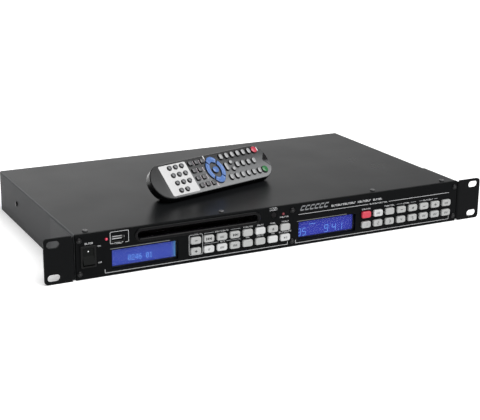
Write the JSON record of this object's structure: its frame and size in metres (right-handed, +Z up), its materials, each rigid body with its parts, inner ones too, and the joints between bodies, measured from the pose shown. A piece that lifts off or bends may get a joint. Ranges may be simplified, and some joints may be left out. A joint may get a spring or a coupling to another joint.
{
  "type": "rack-mount disc player and tuner",
  "caption": "One-unit 19-inch rack slot-loading disc and USB player with radio tuner: blue displays, push keys, rocker power switch, slotted rack ears and its infrared hand remote",
  "frame": {"origin": "centre of the four rack slots, on the front face of the rack ears", "axes": "+X to the right seen from the front, along the rack width; +Y to the rear; +Z up"},
  "size_m": [0.4826, 0.2587, 0.0767],
  "materials": {
    "case_paint": "fine-textured dark grey powder coat",
    "panel_paint": "satin black paint",
    "screw_black": "black oxide",
    "bezel_plastic": "semi-gloss black moulding",
    "display_window": "clear acrylic",
    "display_frame": "black display frame with a blue backlit glass",
    "socket_metal": "plated sheet",
    "lamp_red": "red diffused lamp",
    "sensor_filter": "infrared-pass filter, near black",
    "switch_plastic": "fine matt black",
    "rocker_plastic": "satin black",
    "key_white": "satin light grey",
    "key_red": "satin red",
    "circuit_board": "green solder resist",
    "drive_steel": "zinc-plated sheet",
    "roller_rubber": "ground black rubber",
    "drive_plastic": "matt black",
    "inlet_plastic": "matt black",
    "remote_face": "dark grey to silver satin",
    "remote_shell": "glossy black",
    "remote_rubber": "silicone rubber, grey with coloured keys"
  },
  "bodies": {
    "chassis": {"base_tray": "case_paint", "top_cover": "case_paint", "front_panel": "panel_paint", "rack_ears": "panel_paint", "sub_panel": "case_paint", "case_screws": "screw_black", "slot_bezel": "bezel_plastic", "display_windows": "display_window", "display_modules": "display_frame", "usb_socket": "socket_metal", "indicator_lights": "lamp_red", "remote_sensor": "sensor_filter", "power_switch_housing": "switch_plastic", "front_boards": "circuit_board", "drive_frame": "drive_steel", "main_board": "circuit_board", "power_supply": "circuit_board", "mains_inlet": "inlet_plastic", "rear_sockets": "socket_metal"},
    "power_rocker": {"power_rocker": "rocker_plastic"},
    "feed_roller": {"feed_roller": "roller_rubber"},
    "spindle_turntable": {"spindle_turntable": "drive_plastic"},
    "pickup_sled": {"pickup_sled": "drive_plastic"},
    "cd_key_a1": {"cd_key_a1": "key_white"},
    "cd_key_a2": {"cd_key_a2": "key_white"},
    "cd_key_a3": {"cd_key_a3": "key_white"},
    "cd_key_a4": {"cd_key_a4": "key_white"},
    "cd_key_a5": {"cd_key_a5": "key_white"},
    "cd_key_a6": {"cd_key_a6": "key_white"},
    "cd_key_a7": {"cd_key_a7": "key_white"},
    "cd_key_a8": {"cd_key_a8": "key_white"},
    "cd_key_b1": {"cd_key_b1": "key_white"},
    "cd_key_b2": {"cd_key_b2": "key_white"},
    "cd_key_b3": {"cd_key_b3": "key_white"},
    "cd_key_b4": {"cd_key_b4": "key_white"},
    "cd_key_b5": {"cd_key_b5": "key_white"},
    "cd_key_b6": {"cd_key_b6": "key_white"},
    "cd_key_b7": {"cd_key_b7": "key_white"},
    "cd_key_b8": {"cd_key_b8": "key_white"},
    "tuner_key_a1": {"tuner_key_a1": "key_red"},
    "tuner_key_a2": {"tuner_key_a2": "key_white"},
    "tuner_key_a3": {"tuner_key_a3": "key_white"},
    "tuner_key_a4": {"tuner_key_a4": "key_white"},
    "tuner_key_a5": {"tuner_key_a5": "key_white"},
    "tuner_key_a6": {"tuner_key_a6": "key_white"},
    "tuner_key_a7": {"tuner_key_a7": "key_white"},
    "tuner_key_a8": {"tuner_key_a8": "key_white"},
    "tuner_key_b1": {"tuner_key_b1": "key_white"},
    "tuner_key_b2": {"tuner_key_b2": "key_white"},
    "tuner_key_b3": {"tuner_key_b3": "key_white"},
    "tuner_key_b4": {"tuner_key_b4": "key_white"},
    "tuner_key_b5": {"tuner_key_b5": "key_white"},
    "tuner_key_b6": {"tuner_key_b6": "key_white"},
    "tuner_key_b7": {"tuner_key_b7": "key_white"},
    "tuner_key_b8": {"tuner_key_b8": "key_white"},
    "remote": {"remote_upper_case": "remote_face", "remote_lower_case": "remote_shell", "remote_keypad": "remote_rubber", "remote_ir_window": "sensor_filter"},
    "remote_battery_door": {"remote_battery_door": "remote_shell"}
  },
  "joints": [
    {"name": "power_rocker_hinge", "type": "hinge", "parent": "chassis", "child": "power_rocker", "pos_m": [-0.1998, 0.0026, 0], "axis": [1, 0, 0], "range_deg": [0, 20]},
    {"name": "feed_roller_spin", "type": "hinge", "parent": "chassis", "child": "feed_roller", "pos_m": [-0.0887, 0.025, 0.0091], "axis": [1, 0, 0], "continuous": true},
    {"name": "spindle_spin", "type": "hinge", "parent": "chassis", "child": "spindle_turntable", "pos_m": [-0.0887, 0.092, 0.01], "axis": [0, 0, 1], "continuous": true},
    {"name": "pickup_slide", "type": "slide", "parent": "chassis", "child": "pickup_sled", "axis": [1, 0, 0], "range_m": [0, 0.033]},
    {"name": "remote_lift", "type": "slide", "parent": "chassis", "child": "remote", "axis": [0, 0, 1], "range_m": [0, 0.12]},
    {"name": "battery_door_slide", "type": "slide", "parent": "remote", "child": "remote_battery_door", "axis": [-0.9622, -0.2723, 0], "range_m": [0, 0.05]},
    {"name": "cd_key_a1_press", "type": "slide", "parent": "chassis", "child": "cd_key_a1", "axis": [0, 1, 0], "range_m": [0, 0.0006], "stiffness_N_per_m": 900},
    {"name": "cd_key_a2_press", "type": "slide", "parent": "chassis", "child": "cd_key_a2", "axis": [0, 1, 0], "range_m": [0, 0.0006], "stiffness_N_per_m": 900},
    {"name": "cd_key_a3_press", "type": "slide", "parent": "chassis", "child": "cd_key_a3", "axis": [0, 1, 0], "range_m": [0, 0.0006], "stiffness_N_per_m": 900},
    {"name": "cd_key_a4_press", "type": "slide", "parent": "chassis", "child": "cd_key_a4", "axis": [0, 1, 0], "range_m": [0, 0.0006], "stiffness_N_per_m": 900},
    {"name": "cd_key_a5_press", "type": "slide", "parent": "chassis", "child": "cd_key_a5", "axis": [0, 1, 0], "range_m": [0, 0.0006], "stiffness_N_per_m": 900},
    {"name": "cd_key_a6_press", "type": "slide", "parent": "chassis", "child": "cd_key_a6", "axis": [0, 1, 0], "range_m": [0, 0.0006], "stiffness_N_per_m": 900},
    {"name": "cd_key_a7_press", "type": "slide", "parent": "chassis", "child": "cd_key_a7", "axis": [0, 1, 0], "range_m": [0, 0.0006], "stiffness_N_per_m": 900},
    {"name": "cd_key_a8_press", "type": "slide", "parent": "chassis", "child": "cd_key_a8", "axis": [0, 1, 0], "range_m": [0, 0.0006], "stiffness_N_per_m": 900},
    {"name": "cd_key_b1_press", "type": "slide", "parent": "chassis", "child": "cd_key_b1", "axis": [0, 1, 0], "range_m": [0, 0.0006], "stiffness_N_per_m": 900},
    {"name": "cd_key_b2_press", "type": "slide", "parent": "chassis", "child": "cd_key_b2", "axis": [0, 1, 0], "range_m": [0, 0.0006], "stiffness_N_per_m": 900},
    {"name": "cd_key_b3_press", "type": "slide", "parent": "chassis", "child": "cd_key_b3", "axis": [0, 1, 0], "range_m": [0, 0.0006], "stiffness_N_per_m": 900},
    {"name": "cd_key_b4_press", "type": "slide", "parent": "chassis", "child": "cd_key_b4", "axis": [0, 1, 0], "range_m": [0, 0.0006], "stiffness_N_per_m": 900},
    {"name": "cd_key_b5_press", "type": "slide", "parent": "chassis", "child": "cd_key_b5", "axis": [0, 1, 0], "range_m": [0, 0.0006], "stiffness_N_per_m": 900},
    {"name": "cd_key_b6_press", "type": "slide", "parent": "chassis", "child": "cd_key_b6", "axis": [0, 1, 0], "range_m": [0, 0.0006], "stiffness_N_per_m": 900},
    {"name": "cd_key_b7_press", "type": "slide", "parent": "chassis", "child": "cd_key_b7", "axis": [0, 1, 0], "range_m": [0, 0.0006], "stiffness_N_per_m": 900},
    {"name": "cd_key_b8_press", "type": "slide", "parent": "chassis", "child": "cd_key_b8", "axis": [0, 1, 0], "range_m": [0, 0.0006], "stiffness_N_per_m": 900},
    {"name": "tuner_key_a1_press", "type": "slide", "parent": "chassis", "child": "tuner_key_a1", "axis": [0, 1, 0], "range_m": [0, 0.0006], "stiffness_N_per_m": 900},
    {"name": "tuner_key_a2_press", "type": "slide", "parent": "chassis", "child": "tuner_key_a2", "axis": [0, 1, 0], "range_m": [0, 0.0006], "stiffness_N_per_m": 900},
    {"name": "tuner_key_a3_press", "type": "slide", "parent": "chassis", "child": "tuner_key_a3", "axis": [0, 1, 0], "range_m": [0, 0.0006], "stiffness_N_per_m": 900},
    {"name": "tuner_key_a4_press", "type": "slide", "parent": "chassis", "child": "tuner_key_a4", "axis": [0, 1, 0], "range_m": [0, 0.0006], "stiffness_N_per_m": 900},
    {"name": "tuner_key_a5_press", "type": "slide", "parent": "chassis", "child": "tuner_key_a5", "axis": [0, 1, 0], "range_m": [0, 0.0006], "stiffness_N_per_m": 900},
    {"name": "tuner_key_a6_press", "type": "slide", "parent": "chassis", "child": "tuner_key_a6", "axis": [0, 1, 0], "range_m": [0, 0.0006], "stiffness_N_per_m": 900},
    {"name": "tuner_key_a7_press", "type": "slide", "parent": "chassis", "child": "tuner_key_a7", "axis": [0, 1, 0], "range_m": [0, 0.0006], "stiffness_N_per_m": 900},
    {"name": "tuner_key_a8_press", "type": "slide", "parent": "chassis", "child": "tuner_key_a8", "axis": [0, 1, 0], "range_m": [0, 0.0006], "stiffness_N_per_m": 900},
    {"name": "tuner_key_b1_press", "type": "slide", "parent": "chassis", "child": "tuner_key_b1", "axis": [0, 1, 0], "range_m": [0, 0.0006], "stiffness_N_per_m": 900},
    {"name": "tuner_key_b2_press", "type": "slide", "parent": "chassis", "child": "tuner_key_b2", "axis": [0, 1, 0], "range_m": [0, 0.0006], "stiffness_N_per_m": 900},
    {"name": "tuner_key_b3_press", "type": "slide", "parent": "chassis", "child": "tuner_key_b3", "axis": [0, 1, 0], "range_m": [0, 0.0006], "stiffness_N_per_m": 900},
    {"name": "tuner_key_b4_press", "type": "slide", "parent": "chassis", "child": "tuner_key_b4", "axis": [0, 1, 0], "range_m": [0, 0.0006], "stiffness_N_per_m": 900},
    {"name": "tuner_key_b5_press", "type": "slide", "parent": "chassis", "child": "tuner_key_b5", "axis": [0, 1, 0], "range_m": [0, 0.0006], "stiffness_N_per_m": 900},
    {"name": "tuner_key_b6_press", "type": "slide", "parent": "chassis", "child": "tuner_key_b6", "axis": [0, 1, 0], "range_m": [0, 0.0006], "stiffness_N_per_m": 900},
    {"name": "tuner_key_b7_press", "type": "slide", "parent": "chassis", "child": "tuner_key_b7", "axis": [0, 1, 0], "range_m": [0, 0.0006], "stiffness_N_per_m": 900},
    {"name": "tuner_key_b8_press", "type": "slide", "parent": "chassis", "child": "tuner_key_b8", "axis": [0, 1, 0], "range_m": [0, 0.0006], "stiffness_N_per_m": 900}
  ]
}
